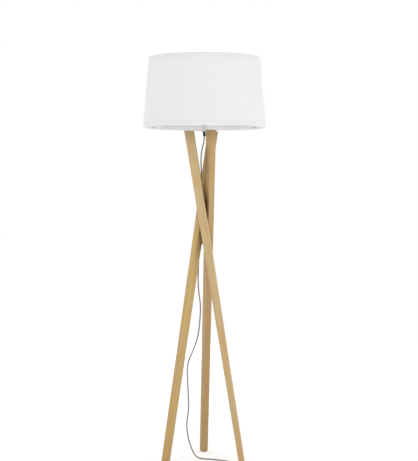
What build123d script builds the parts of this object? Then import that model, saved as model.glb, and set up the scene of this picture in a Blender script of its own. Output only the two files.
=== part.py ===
from build123d import *
import math
import os

# Tripod floor lamp: three crossing wooden legs, a white top plate, a lampholder on a
# short stem, a tapered cloth shade, and a mains lead with a foot switch and a plug.
# Millimetres, +Z up, origin on the floor under the lamp's axis, front towards -Y.

# Legs: tapered wooden bars on a foot circle, twisted round to a small circle at the top
LEG_COUNT = 3
LEG_TOP_Z = 1199.0
FOOT_CIRCLE_R = 159.0
FOOT_ANGLE = -30.0
TOP_CIRCLE_R = 56.0
LEG_TWIST = 205.7
LEG_WIDTH_TOP = 34.5
LEG_WIDTH_FOOT = 21.0
LEG_THICKNESS = 25.5
LEG_EDGE_R = 3.0
CORD_PASSAGE_D = 9.0
GLIDE_D = 16.0
GLIDE_T = 2.0

# Steel dowels that pin each leg to the next where they cross
DOWEL_D = 5.0
DOWEL_LENGTH = 34.0
DOWEL_CLEARANCE = 0.1

# White steel top plate and its wood screws
PLATE_T = 3.0
PLATE_HUB_D = 48.0
PLATE_ARM_WIDTH = 23.0
PLATE_ARM_END_R = 73.0
SCREW_SHANK_D = 4.2
SCREW_HEAD_D = 8.4
SCREW_LENGTH = 30.0
SCREW_POINT = 4.0
SCREW_SPACING = 15.0
SCREW_CLEARANCE = 0.15

# Stem: threaded nipple, lock nut below the plate, collar and sleeve above it
NIPPLE_D = 13.0
NIPPLE_BORE = 10.6
NIPPLE_IN_HOLDER = 9.0
THREAD_CLEARANCE = 0.15
LOCK_NUT_D = 19.0
LOCK_NUT_T = 3.0
COLLAR_D = 22.0
COLLAR_H = 6.0
COLLAR_EDGE_R = 1.5
SLEEVE_D = 16.5
SLEEVE_H = 20.0

# Black cord grip pushed into the lower end of the nipple
GRIP_D = 10.5
GRIP_LENGTH = 17.0
GRIP_WAIST_D = 9.0
GRIP_WAIST_FROM_TOP = 8.0
GRIP_WAIST_H = 1.6
GRIP_TIP_R = 2.6
GRIP_SHANK_LENGTH = 10.0
GRIP_CLEARANCE = 0.2

# Lampholder for a standard screw bulb
HOLDER_NECK_D = 20.0
HOLDER_CONE_H = 14.0
HOLDER_CAP_D = 38.0
HOLDER_RIM_H = 8.0
HOLDER_WALL = 2.0
HOLDER_FLANGE_D = 47.0
HOLDER_FLANGE_T = 2.5
HOLDER_SHELL_D = 39.6
HOLDER_SHELL_BORE = 29.6
HOLDER_SHELL_H = 36.0
HOLDER_CLEARANCE = 0.2
INSERT_BOSS_H = 6.0
LEAF_T = 0.8
LEAF_WIDTH = 6.0
CENTRE_LEAF_H = 3.0
SIDE_LEAF_H = 16.0
TERMINAL_SCREW_D = 3.0
TERMINAL_SCREW_L = 5.0
TERMINAL_SCREW_PROUD = 1.0
TERMINAL_SPACING = 18.0

# Screw bulb
BULB_LENGTH = 108.0
BULB_GLOBE_R = 30.0
BULB_NECK_R = 13.9
BULB_NECK_BLEND_R = 30.0
BULB_GLASS_T = 1.0
BULB_CAP_D = 26.2
BULB_CAP_H = 24.0
BULB_CAP_T = 0.8
BULB_TIP_H = 3.0
BULB_TIP_D = 10.0
BULB_CLEARANCE = 0.3

# Shade: laminated cloth rolled round two wire hoops, carried by a recessed fitter
SHADE_BOTTOM_D = 450.0
SHADE_TOP_D = 408.0
SHADE_HEIGHT = 256.0
SHADE_WALL = 1.5
HOOP_WIRE_D = 4.0
HEM_CLEARANCE = 0.15
FITTER_RECESS = 51.7
FITTER_BORE = 42.0
FITTER_OUTER_D = 60.0
FITTER_T = 2.0
FITTER_CLEARANCE = 0.2
SPOKE_COUNT = 3
SPOKE_D = 4.0
SPOKE_FLAT = 22.0
SPOKE_BEND_R = 20.0
SPOKE_ANGLE = -90.0
SPOKE_NOTCH = 0.4

# Ring nut that clamps the fitter on the lampholder
RING_D = 56.0
RING_H = 9.0
RING_CLEARANCE = 0.3
RING_RIBS = 24
RING_RIB_D = 3.0
RING_RIB_OUT = 0.5

# Mains lead: round cord from the grip down to the floor and along it to the foot switch
CORD_D = 4.6
CORD_BORE_CLEARANCE = 0.1
CORNER_SHARE = 0.45
DROP_ROUTE = [
    (-1, 0, 1158),
    (-8, 0.5, 1137),
    (-12.5, 1, 1098),
    (-11.5, 3, 1060),
    (-6, 3.2, 1022),
    (-0.9, 0.9, 984),
    (0, 0, 935),
    (0.3, 0.8, 886),
    (1, -2.5, 841),
    (0.9, 15.8, 804),
    (-19.7, 28.9, 767),
    (-19.8, 17.7, 722),
    (-22.3, 13.5, 668),
    (-20.5, 12, 616),
    (-14.5, 11, 562),
    (-15, 9.5, 508),
    (-25.5, 8, 450),
    (-42, 6, 397),
    (-57, 5, 348),
    (-62.5, 4.5, 290),
    (-60.5, 4, 235),
    (-59, 3.5, 180),
    (-62, 3.5, 128),
    (-60, 3.5, 84),
    (-50, 3, 44),
    (-34, 2, 14),
    (-8, -2, 2.4),
    (24, -12, 2.4),
    (58, -30, 2.4),
    (88, -52, 2.4),
    (109, -80, 2.4),
    (126, -110, 2.4),
    (152, -134, 2.4),
    (174, -160, 3.2),
    (172, -188, 6.5),
]

# Foot switch on the lead, lying along X
SWITCH_X = 70.0
SWITCH_Y = -205.0
SWITCH_LENGTH = 84.0
SWITCH_WIDTH = 34.0
SWITCH_WALL = 2.0
SWITCH_BASE_H = 9.0
SWITCH_COVER_H = 13.0
SWITCH_EDGE_R = 4.0
BUTTON_D = 24.0
BUTTON_PROUD = 5.0
BUTTON_TRAVEL = 3.5
BUTTON_FLANGE_D = 28.0
BUTTON_FLANGE_T = 2.0
BUTTON_CROWN_R = 2.5
BUTTON_CLEARANCE = 0.4
PLUNGER_D = 6.0
PLUNGER_IN_LATCH = 1.2
LATCH_LENGTH = 22.0
LATCH_WIDTH = 16.0
LATCH_H = 11.0
BOSS_D = 7.0
BOSS_X = 27.0
BOSS_Y = 8.5
CASE_SCREW_D = 2.8
CASE_SCREW_HEAD_D = 5.4
CASE_SCREW_HEAD_H = 1.6
CASE_SCREW_LENGTH = 14.0
BUSHING_TAPER_LENGTH = 22.0
BUSHING_ROOT_D = 10.0
BUSHING_TIP_D = 6.4
BUSHING_FLANGE_D = 13.0
BUSHING_FLANGE_T = 2.0
BUSHING_CLEARANCE = 0.15
CORD_IN_BUSHING = 11.0
CORD_BEFORE_BUSHING = 13.0

# Lead between the switch and the coil
LEAD_ROUTE = [
    (-34, -202.5, 5.6),
    (-60, -195, 4.2),
    (-83, -188.4, 3.9),
]

# Coil of the spare lead: in on the lower layer, out on the upper one, held by a tie
COIL_X = -105.0
COIL_Y = -150.0
COIL_OUTER_R = 37.0
COIL_PITCH = 5.2
COIL_TURNS_PER_LAYER = 3.25
COIL_LIFT = 1.6
COIL_CLIMB_TURNS = 0.5
COIL_ARCS_PER_TURN = 4
COIL_GAP_STEP = 1.5
TIE_WIDTH = 9.0
TIE_T = 1.0
TIE_CLEARANCE = 0.5
TIE_ANGLE = 180.0

# Lead from the coil to the plug
TAIL_ROUTE = [
    (-84, -113.4, 9),
    (-62, -119, 8.4),
    (-42, -131, 7.4),
    (-22, -144, 7),
]

# Flat two-pin plug lying beside the coil
PLUG_BODY_X = 30.0
PLUG_Y = -150.0
PLUG_AXIS_Z = 7.0
CORD_IN_PLUG = 7.0
CORD_BEFORE_PLUG = 11.0
PLUG_THICKNESS = 13.6
PLUG_LENGTH = 34.0
PLUG_FACE_WIDTH = 26.0
PLUG_WAIST_WIDTH = 35.0
PLUG_TAIL_WIDTH = 16.0
PLUG_EDGE_R = 2.5
PLUG_FACE_EDGE_R = 2.0
PLUG_TAPER_LENGTH = 22.0
PLUG_TAPER_ROOT_D = 10.0
PLUG_TAPER_TIP_D = 6.4
PIN_D = 4.0
PIN_LENGTH = 19.0
PIN_SPACING = 18.6
PIN_SOCKET = 8.0
PIN_TIP_R = 1.2

# Levels stacked up from the leg tops
plate_bottom = LEG_TOP_Z
plate_top = plate_bottom + PLATE_T
nut_bottom = plate_bottom - LOCK_NUT_T
collar_top = plate_top + COLLAR_H
holder_bottom = collar_top + SLEEVE_H
neck_top = holder_bottom + NIPPLE_IN_HOLDER
cone_top = neck_top + HOLDER_CONE_H
cap_top = cone_top + HOLDER_RIM_H
flange_top = cap_top + HOLDER_FLANGE_T
shell_top = flange_top + HOLDER_SHELL_H
insert_top = cap_top + INSERT_BOSS_H
grip_bottom = nut_bottom - GRIP_LENGTH
bulb_tip = insert_top + CENTRE_LEAF_H + BULB_CLEARANCE
fitter_bottom = flange_top + FITTER_CLEARANCE
fitter_top = fitter_bottom + FITTER_T
shade_bottom = fitter_bottom - FITTER_RECESS
shade_top = shade_bottom + SHADE_HEIGHT
ring_bottom = fitter_top + FITTER_CLEARANCE

Z_UP = Vector(0, 0, 1)


def polar(radius, angle, z=0.0):
    turn = math.radians(angle)
    return Vector(radius * math.cos(turn), radius * math.sin(turn), z)


def disc(diameter, low, high, x=0.0, y=0.0):
    return Pos(x, y, low) * Cylinder(
        diameter / 2, high - low, align=(Align.CENTER, Align.CENTER, Align.MIN)
    )


def tube(outer, bore, low, high):
    return disc(outer, low, high) - disc(bore, low, high)


def turned(points):
    """Solid of revolution about Z from (radius, height) corners."""
    return revolve(Plane.XZ * make_face(Polyline(*points, close=True)), axis=Axis.Z)


def round_bar(start, end, diameter):
    along = end - start
    face = Plane(start, z_dir=along.normalized()) * Circle(diameter / 2)
    return extrude(face, amount=along.length, dir=along.normalized())


def around(piece, count, first=0.0):
    return [Rot(0, 0, first + 360.0 * i / count) * piece for i in range(count)]


# Legs

def leg_frame(number):
    """Foot, top and section directions of one leg's centre line."""
    foot_angle = FOOT_ANGLE + 360.0 * number / LEG_COUNT
    top_angle = foot_angle + LEG_TWIST
    foot = polar(FOOT_CIRCLE_R, foot_angle)
    top = polar(TOP_CIRCLE_R, top_angle, LEG_TOP_Z)
    axis = (top - foot).normalized()
    thick = axis.cross(polar(1, top_angle)).normalized()
    return foot, top, axis, thick


def leg_blank(number):
    """Tapered bar with eased edges, cut level at the glide and at the plate."""
    foot, top, axis, thick = leg_frame(number)
    wide = thick.cross(axis)
    taper = (LEG_WIDTH_TOP - LEG_WIDTH_FOOT) / (top - foot).length
    spare = LEG_WIDTH_TOP
    ends = [
        (foot - axis * spare, LEG_WIDTH_FOOT - taper * spare),
        (top + axis * spare, LEG_WIDTH_TOP + taper * spare),
    ]
    faces = [Plane(at, x_dir=wide, z_dir=axis) * Rectangle(w, LEG_THICKNESS) for at, w in ends]
    reach = 4 * (FOOT_CIRCLE_R + LEG_WIDTH_TOP)
    room = Pos(0, 0, GLIDE_T) * Box(
        reach, reach, LEG_TOP_Z - GLIDE_T, align=(Align.CENTER, Align.CENTER, Align.MIN)
    )
    bar = loft(faces) & room
    by_height = bar.faces().sort_by(Axis.Z)
    top_edges = by_height[-1].edges()
    eased = [e for e in bar.edges() if e not in top_edges]
    return fillet(eased, LEG_EDGE_R)


first_blank = leg_blank(0)
next_blank = leg_blank(1)
lap = first_blank & next_blank
lap_middle = lap.center()
next_foot, next_top, next_axis, next_thick = leg_frame(1)
lap_across = (lap_middle - next_foot).dot(next_thick)
dowel_way = next_thick * math.copysign(1, lap_across)
face_offset = LEG_THICKNESS / 2 - abs(lap_across)
lap_depth = max(
    LEG_THICKNESS / 2 - abs((Vector(v.X, v.Y, v.Z) - next_foot).dot(next_thick))
    for v in lap.vertices()
)
dowel_middle = lap_middle + dowel_way * face_offset
dowel_start = dowel_middle - dowel_way * (DOWEL_LENGTH / 2)
dowel_end = dowel_middle + dowel_way * (DOWEL_LENGTH / 2)
dowel = round_bar(dowel_start, dowel_end, DOWEL_D)
dowel_hole = round_bar(dowel_start, dowel_end, DOWEL_D + 2 * DOWEL_CLEARANCE)


def screw_places(number):
    middle = polar(1, FOOT_ANGLE + LEG_TWIST + 360.0 * number / LEG_COUNT)
    return [middle * (TOP_CIRCLE_R + side * SCREW_SPACING / 2) for side in (-1, 1)]


def wood_screw(place, ease=0.0):
    """Countersunk screw flush with the plate, or its hole when eased."""
    r = SCREW_SHANK_D / 2 + ease
    head_r = SCREW_HEAD_D / 2 + ease
    head_h = head_r - r
    tip = plate_top - SCREW_LENGTH
    corners = [
        (0, plate_top),
        (head_r, plate_top),
        (r, plate_top - head_h),
        (r, tip + SCREW_POINT),
        (0, tip - ease),
    ]
    return Pos(place.X, place.Y, 0) * turned(corners)


leg = first_blank - next_blank - disc(CORD_PASSAGE_D, GLIDE_T, LEG_TOP_Z)
for hole in around(dowel_hole, LEG_COUNT):
    leg = leg - hole
for place in screw_places(0):
    leg = leg - wood_screw(place, SCREW_CLEARANCE)
legs = around(leg, LEG_COUNT)
glides = [
    disc(GLIDE_D, 0, GLIDE_T, *tuple(polar(FOOT_CIRCLE_R, FOOT_ANGLE + 360.0 * i / LEG_COUNT))[:2])
    for i in range(LEG_COUNT)
]

# Top plate: a hub with one arm over each leg

arm_outline = Pos(PLATE_ARM_END_R / 2 - PLATE_ARM_WIDTH / 4, 0) * SlotCenterToCenter(
    PLATE_ARM_END_R - PLATE_ARM_WIDTH / 2, PLATE_ARM_WIDTH
)
plate_outline = Circle(PLATE_HUB_D / 2)
for i in range(LEG_COUNT):
    plate_outline += Rot(0, 0, FOOT_ANGLE + LEG_TWIST + 360.0 * i / LEG_COUNT) * arm_outline
plate_outline -= Circle(NIPPLE_D / 2 + THREAD_CLEARANCE)
top_plate = Pos(0, 0, plate_bottom) * extrude(plate_outline, amount=PLATE_T)
plate_screws = []
for i in range(LEG_COUNT):
    for place in screw_places(i):
        plate_screws.append(wood_screw(place))
        top_plate = top_plate - wood_screw(place, SCREW_CLEARANCE)

# Stem

nipple_hole = NIPPLE_D + 2 * THREAD_CLEARANCE
nipple = tube(NIPPLE_D, NIPPLE_BORE, nut_bottom, neck_top)
nut_blank = Pos(0, 0, nut_bottom) * extrude(RegularPolygon(LOCK_NUT_D / 2, 6), amount=LOCK_NUT_T)
lock_nut = nut_blank - disc(nipple_hole, nut_bottom, plate_bottom)
collar = tube(COLLAR_D, nipple_hole, plate_top, collar_top)
collar = fillet(collar.edges().filter_by(GeomType.CIRCLE).group_by(Axis.Z)[-1][-1], COLLAR_EDGE_R)
sleeve = tube(SLEEVE_D, nipple_hole, collar_top, holder_bottom)


def grip_outline():
    """Half section of the cord grip: shank, collar, waist and rounded tip."""
    shank_r = NIPPLE_BORE / 2 - GRIP_CLEARANCE
    bore_r = CORD_D / 2 + CORD_BORE_CLEARANCE
    waist_z = nut_bottom - GRIP_WAIST_FROM_TOP
    waist_r = GRIP_WAIST_D / 2
    half_waist = GRIP_WAIST_H / 2
    body_r = GRIP_D / 2
    return [
        (bore_r, nut_bottom + GRIP_SHANK_LENGTH),
        (shank_r, nut_bottom + GRIP_SHANK_LENGTH),
        (shank_r, nut_bottom),
        (body_r, nut_bottom),
        (body_r, waist_z + 2 * half_waist),
        (waist_r, waist_z + half_waist),
        (waist_r, waist_z - half_waist),
        (body_r, waist_z - 2 * half_waist),
        (body_r, grip_bottom),
        (bore_r, grip_bottom),
    ]


cord_grip = turned(grip_outline())
tip_edges = cord_grip.edges().filter_by(GeomType.CIRCLE).group_by(Axis.Z)[0]
cord_grip = fillet(tip_edges.sort_by(SortBy.RADIUS)[-1], GRIP_TIP_R)
inner_lead = disc(CORD_D, grip_bottom, neck_top)

# Lampholder

neck_r = HOLDER_NECK_D / 2
cap_r = HOLDER_CAP_D / 2
cap_inner_r = cap_r - HOLDER_WALL
holder_cap = turned(
    [
        (nipple_hole / 2, holder_bottom),
        (neck_r, holder_bottom),
        (neck_r, neck_top),
        (cap_r, cone_top),
        (cap_r, cap_top),
        (cap_inner_r, cap_top),
        (cap_inner_r, cone_top),
        (neck_r - HOLDER_WALL, neck_top + HOLDER_WALL),
        (nipple_hole / 2, neck_top + HOLDER_WALL),
    ]
)
boss_r = HOLDER_SHELL_BORE / 2 - HOLDER_CLEARANCE
holder_insert = disc(2 * (cap_inner_r - HOLDER_CLEARANCE), cone_top, cap_top)
holder_insert = holder_insert + disc(2 * boss_r, cap_top, insert_top)
terminal_screws = []
for side in (-1, 1):
    y = side * TERMINAL_SPACING / 2
    screw_low = cone_top - TERMINAL_SCREW_PROUD
    screw_high = cone_top + TERMINAL_SCREW_L
    terminal_screws.append(disc(TERMINAL_SCREW_D, screw_low, screw_high, 0, y))
    screw_hole_d = TERMINAL_SCREW_D + 2 * SCREW_CLEARANCE
    holder_insert = holder_insert - disc(screw_hole_d, cone_top, screw_high, 0, y)
holder_shell = tube(HOLDER_FLANGE_D, HOLDER_SHELL_BORE, cap_top, flange_top)
holder_shell = holder_shell + tube(HOLDER_SHELL_D, HOLDER_SHELL_BORE, flange_top, shell_top)


def leaf(x, length, height, low):
    return Pos(x, 0, low) * Box(
        length, LEAF_WIDTH, height, align=(Align.CENTER, Align.CENTER, Align.MIN)
    )


centre_foot = leaf(0, LEAF_WIDTH, LEAF_T, insert_top)
centre_riser = leaf((LEAF_T - LEAF_WIDTH) / 2, LEAF_T, CENTRE_LEAF_H, insert_top)
centre_top = leaf(0, LEAF_WIDTH, LEAF_T, insert_top + CENTRE_LEAF_H - LEAF_T)
centre_leaf = centre_foot + centre_riser + centre_top
side_x = BULB_CAP_D / 2 + BULB_CLEARANCE + LEAF_T
side_leaf = leaf(side_x - LEAF_T / 2, LEAF_T, SIDE_LEAF_H, insert_top)
side_leaf = side_leaf & disc(HOLDER_SHELL_BORE - HOLDER_CLEARANCE, insert_top, shell_top)
side_leaf = side_leaf - disc(BULB_CAP_D + 2 * BULB_CLEARANCE, insert_top, shell_top)

# Bulb: opal glass globe on a screw cap

def bulb_outline(shrink):
    """Closed half section of the globe and neck, moved inwards by shrink."""
    globe_r = BULB_GLOBE_R - shrink
    neck = BULB_NECK_R - shrink
    blend = BULB_NECK_BLEND_R + shrink
    globe_z = bulb_tip + BULB_LENGTH - BULB_GLOBE_R
    drop = math.sqrt((globe_r + blend) ** 2 - (neck + blend) ** 2)
    share = globe_r / (globe_r + blend)
    meet = ((neck + blend) * share, globe_z - drop * share)
    low = bulb_tip + BULB_TIP_H + BULB_CAP_H + shrink
    lean = math.atan2(drop, neck + blend) / 2
    blend_mid = (
        neck + blend - blend * math.cos(lean),
        globe_z - drop + blend * math.sin(lean),
    )
    side = (globe_r, globe_z)
    lines = Line((0, low), (neck, low)) + Line((neck, low), (neck, globe_z - drop))
    lines += ThreePointArc((neck, globe_z - drop), blend_mid, meet)
    lines += ThreePointArc(meet, side, (0, globe_z + globe_r))
    lines += Line((0, globe_z + globe_r), (0, low))
    return Plane.XZ * make_face(lines)


bulb_glass = revolve(bulb_outline(0), axis=Axis.Z) - revolve(bulb_outline(BULB_GLASS_T), axis=Axis.Z)
bulb_cap_low = bulb_tip + BULB_TIP_H
bulb_cap_top = bulb_cap_low + BULB_CAP_H
bulb_cap = disc(BULB_CAP_D, bulb_cap_low, bulb_cap_top)
bulb_cap = bulb_cap - disc(BULB_CAP_D - 2 * BULB_CAP_T, bulb_cap_low + BULB_CAP_T, bulb_cap_top)
bulb_contact = turned(
    [
        (0, bulb_tip),
        (BULB_TIP_D / 2, bulb_tip),
        (BULB_CAP_D / 2 - BULB_TIP_H, bulb_cap_low),
        (0, bulb_cap_low),
    ]
)

# Shade

hoop_r = HOOP_WIRE_D / 2
hem_in = hoop_r + HEM_CLEARANCE
hem_out = hem_in + SHADE_WALL
low_hoop = (SHADE_BOTTOM_D / 2 - hem_out, shade_bottom + hem_out)
high_hoop = (SHADE_TOP_D / 2 - hem_out, shade_top - hem_out)
wall_corners = [
    (low_hoop[0] + hem_out, low_hoop[1]),
    (high_hoop[0] + hem_out, high_hoop[1]),
    (high_hoop[0] + hem_in, high_hoop[1]),
    (low_hoop[0] + hem_in, low_hoop[1]),
]
wall_face = make_face(Polyline(*wall_corners, close=True))
for place in (low_hoop, high_hoop):
    wall_face += Pos(*place) * Circle(hem_out)
for place in (low_hoop, high_hoop):
    wall_face -= Pos(*place) * Circle(hem_in)
shade_panel = revolve(Plane.XZ * wall_face, axis=Axis.Z)
top_hoop = Pos(0, 0, high_hoop[1]) * Torus(high_hoop[0], hoop_r)

spoke_level = fitter_top - SPOKE_D / 2
spoke_path = FilletPolyline(
    (FITTER_BORE / 2 + SPOKE_D, 0, spoke_level),
    (FITTER_OUTER_D / 2 + SPOKE_FLAT, 0, spoke_level),
    (low_hoop[0], 0, low_hoop[1]),
    radius=SPOKE_BEND_R,
)


def spoke(diameter):
    return sweep(Plane(spoke_path @ 0, z_dir=spoke_path % 0) * Circle(diameter / 2), path=spoke_path)


fitter = tube(FITTER_OUTER_D, FITTER_BORE, fitter_bottom, fitter_top)
lower_frame = fitter + Pos(0, 0, low_hoop[1]) * Torus(low_hoop[0], hoop_r)
for wire in around(spoke(SPOKE_D), SPOKE_COUNT, SPOKE_ANGLE):
    lower_frame = lower_frame + wire
for notch in around(spoke(SPOKE_D + 2 * SPOKE_NOTCH), SPOKE_COUNT, SPOKE_ANGLE):
    shade_panel = shade_panel - notch

# Ring nut with finger ribs

ring_top = ring_bottom + RING_H
shade_ring = disc(RING_D, ring_bottom, ring_top)
for groove in around(
    disc(RING_RIB_D, ring_bottom, ring_top, RING_D / 2 + RING_RIB_OUT), RING_RIBS
):
    shade_ring = shade_ring - groove
shade_ring = shade_ring - disc(HOLDER_SHELL_D + 2 * RING_CLEARANCE, ring_bottom, ring_top)

# Cord

def corner_radii(route):
    """Largest even rounding of each corner: 0.45 of its shorter run over the half turn."""
    points = [Vector(*p) for p in route]
    radii = []
    for before, here, after in zip(points, points[1:], points[2:]):
        turn = math.radians((here - before).get_angle(after - here))
        shorter = min((here - before).length, (after - here).length)
        radii.append(CORNER_SHARE * shorter / math.tan(turn / 2))
    return radii


def cord_along(name, route):
    radii = corner_radii(route)
    path = FilletPolyline(*route, radius=radii)
    section = Plane(path @ 0, z_dir=path % 0) * Circle(CORD_D / 2)
    cord = sweep(section, path=path)
    ideal = math.pi * CORD_D**2 / 4 * path.length
    print(name, "length", round(path.length, 1), "least radius", round(min(radii), 1))
    print(name, "volume over section times length", round(cord.volume / ideal, 4))
    return cord


# Coil

coil_low_z = COIL_LIFT + CORD_D / 2
coil_turns = 2 * COIL_TURNS_PER_LAYER


def coil_radius(turn):
    return COIL_OUTER_R - COIL_PITCH * min(turn, coil_turns - turn)


def coil_height(turn):
    climb = (turn - COIL_TURNS_PER_LAYER) / COIL_CLIMB_TURNS + 0.5
    climb = min(max(climb, 0.0), 1.0)
    return coil_low_z + COIL_PITCH * (1 - math.cos(math.pi * climb)) / 2


def coil_point(turn):
    """Point after so many clockwise turns from the front of the coil."""
    place = polar(coil_radius(turn), -90.0 - 360.0 * turn, coil_height(turn))
    return place + Vector(COIL_X, COIL_Y, 0)


def coil_way(turn):
    step = 0.001
    return (coil_point(turn + step) - coil_point(turn - step)).normalized()


def biarc(start, start_way, end, end_way):
    """Two tangent arcs between two points with given directions."""
    span = end - start
    ways = start_way + end_way
    a = ways.dot(ways) - 4
    b = span.dot(ways)
    reach = (b - math.sqrt(b * b - a * span.dot(span))) / a
    middle = (start + start_way * reach + end - end_way * reach) / 2
    first = TangentArc(start, middle, tangent=start_way)
    return [first, TangentArc(middle, end, tangent=first % 1)]


def coil_path():
    steps = round(coil_turns * COIL_ARCS_PER_TURN)
    turns = [coil_turns * i / steps for i in range(steps + 1)]
    arcs = []
    for a, b in zip(turns, turns[1:]):
        arcs += biarc(coil_point(a), coil_way(a), coil_point(b), coil_way(b))
    start_way = arcs[0] % 0
    end_way = arcs[-1] % 1
    first = Line(arcs[0] @ 0 - start_way * CORD_D, arcs[0] @ 0)
    last = Line(arcs[-1] @ 1, arcs[-1] @ 1 + end_way * CORD_D)
    return Wire([first] + arcs + [last])


coil_line = coil_path()
cord_coil = sweep(Plane(coil_line @ 0, z_dir=coil_line % 0) * Circle(CORD_D / 2), path=coil_line)


def self_gap(path, spacing=COIL_GAP_STEP):
    """Least gap of the coil to itself, skipping the neighbours along the cord."""
    count = int(path.length / spacing)
    points = [path @ (i / count) for i in range(count + 1)]
    skip = int(4 * CORD_D / spacing)
    least = min(
        (points[i] - points[j]).length
        for i in range(len(points))
        for j in range(i + skip, len(points))
    )
    return least - CORD_D


print("cord_coil length", round(coil_line.length, 1), "gap to itself", round(self_gap(coil_line), 2))

coil_hole_r = COIL_OUTER_R - COIL_PITCH * COIL_TURNS_PER_LAYER - CORD_D / 2
tie_in = math.sqrt(coil_hole_r**2 - (TIE_WIDTH / 2) ** 2) - TIE_CLEARANCE
tie_out = COIL_OUTER_R + CORD_D / 2 + TIE_CLEARANCE
tie_low = COIL_LIFT - TIE_CLEARANCE
tie_high = coil_low_z + COIL_PITCH + CORD_D / 2 + TIE_CLEARANCE
tie_face = Pos((tie_in + tie_out) / 2, (tie_low + tie_high) / 2) * RectangleRounded(
    tie_out - tie_in + 2 * TIE_T, tie_high - tie_low + 2 * TIE_T, CORD_D / 2
)
tie_face -= Pos((tie_in + tie_out) / 2, (tie_low + tie_high) / 2) * RectangleRounded(
    tie_out - tie_in, tie_high - tie_low, CORD_D / 2 - TIE_T
)
cord_tie = extrude(Plane.XZ * tie_face, amount=TIE_WIDTH / 2, both=True)
cord_tie = Pos(COIL_X, COIL_Y, 0) * Rot(0, 0, TIE_ANGLE) * cord_tie

# Cord runs between the grip, the switch, the coil and the plug

bushing_tip = SWITCH_LENGTH / 2 + BUSHING_TAPER_LENGTH
plug_tip = PLUG_BODY_X - PLUG_TAPER_LENGTH


def switch_entry(side):
    """Straight end of a run in the bushing on one side of the switch, from the outside in."""
    return [
        (SWITCH_X + side * (bushing_tip + CORD_BEFORE_BUSHING), SWITCH_Y, SWITCH_BASE_H),
        (SWITCH_X + side * (bushing_tip - CORD_IN_BUSHING), SWITCH_Y, SWITCH_BASE_H),
    ]


plug_entry = [
    (plug_tip - CORD_BEFORE_PLUG, PLUG_Y, PLUG_AXIS_Z),
    (plug_tip + CORD_IN_PLUG, PLUG_Y, PLUG_AXIS_Z),
]
cord_drop = cord_along("cord_drop", [(0, 0, grip_bottom)] + DROP_ROUTE + switch_entry(1))
cord_lead = cord_along("cord_lead", switch_entry(-1)[::-1] + LEAD_ROUTE + [tuple(coil_line @ 0)])
cord_tail = cord_along("cord_tail", [tuple(coil_line @ 1)] + TAIL_ROUTE + plug_entry)

# Foot switch

SWITCH_PLACE = Pos(SWITCH_X, SWITCH_Y, 0)
switch_top = SWITCH_BASE_H + SWITCH_COVER_H
inner_length = SWITCH_LENGTH - 2 * SWITCH_WALL
inner_width = SWITCH_WIDTH - 2 * SWITCH_WALL


def slot_block(length, width, low, high):
    return Pos(0, 0, low) * extrude(SlotOverall(length, width), amount=high - low)


def along_x(points, mirrored):
    """Solid of revolution about the cord's line in the switch, from (x, radius) corners."""
    way = -1 if mirrored else 1
    corners = [(way * x, r) for x, r in points]
    piece = revolve(Plane.XZ * make_face(Polyline(*corners, close=True)), axis=Axis.X)
    return Pos(0, 0, SWITCH_BASE_H) * piece


end_x = SWITCH_LENGTH / 2
end_curve = inner_width / 2 - math.sqrt(inner_width**2 - BUSHING_FLANGE_D**2) / 2
bush_seat = end_x - SWITCH_WALL - end_curve - BUSHING_CLEARANCE
bush_bore = CORD_D / 2 + CORD_BORE_CLEARANCE
bush_root = BUSHING_ROOT_D / 2
bush_corners = [
    (bush_seat - BUSHING_FLANGE_T, bush_bore),
    (bush_seat - BUSHING_FLANGE_T, BUSHING_FLANGE_D / 2),
    (bush_seat, BUSHING_FLANGE_D / 2),
    (bush_seat, bush_root),
    (end_x, bush_root),
    (bushing_tip, BUSHING_TIP_D / 2),
    (bushing_tip, bush_bore),
]
bush_hole = [
    (end_x - BUSHING_FLANGE_D, 0),
    (end_x - BUSHING_FLANGE_D, bush_root + BUSHING_CLEARANCE),
    (end_x + SWITCH_WALL, bush_root + BUSHING_CLEARANCE),
    (end_x + SWITCH_WALL, 0),
]
bushings = [along_x(bush_corners, mirrored) for mirrored in (False, True)]
bush_holes = [along_x(bush_hole, mirrored) for mirrored in (False, True)]

switch_base = slot_block(SWITCH_LENGTH, SWITCH_WIDTH, 0, SWITCH_BASE_H)
switch_base = chamfer(switch_base.faces().sort_by(Axis.Z)[0].edges(), SWITCH_WALL / 2)
switch_base = switch_base - slot_block(inner_length, inner_width, SWITCH_WALL, SWITCH_BASE_H)
switch_cover = slot_block(SWITCH_LENGTH, SWITCH_WIDTH, SWITCH_BASE_H, switch_top)
switch_cover = fillet(switch_cover.faces().sort_by(Axis.Z)[-1].edges(), SWITCH_EDGE_R)
switch_cover = switch_cover - slot_block(
    inner_length, inner_width, SWITCH_BASE_H, switch_top - SWITCH_WALL
)
switch_cover = switch_cover - disc(BUTTON_D + 2 * BUTTON_CLEARANCE, SWITCH_BASE_H, switch_top)
boss_places = [(BOSS_X, BOSS_Y), (-BOSS_X, -BOSS_Y)]
case_screws = []
for x, y in boss_places:
    head_top = CASE_SCREW_HEAD_H + SWITCH_WALL / 4
    head_low = head_top - CASE_SCREW_HEAD_H
    shank_top = head_top + CASE_SCREW_LENGTH
    switch_cover = switch_cover + disc(BOSS_D, SWITCH_BASE_H, switch_top - SWITCH_WALL / 2, x, y)
    switch_base = switch_base + disc(BOSS_D, SWITCH_WALL / 2, SWITCH_BASE_H, x, y)
    hole = disc(CASE_SCREW_D + 2 * SCREW_CLEARANCE, 0, shank_top, x, y)
    seat = disc(CASE_SCREW_HEAD_D + 2 * SCREW_CLEARANCE, 0, head_top, x, y)
    switch_base = switch_base - hole - seat
    switch_cover = switch_cover - hole
    case_screws.append(
        disc(CASE_SCREW_HEAD_D, head_low, head_top, x, y) + disc(CASE_SCREW_D, head_top, shank_top, x, y)
    )
for hole in bush_holes:
    switch_base = switch_base - hole
    switch_cover = switch_cover - hole

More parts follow.
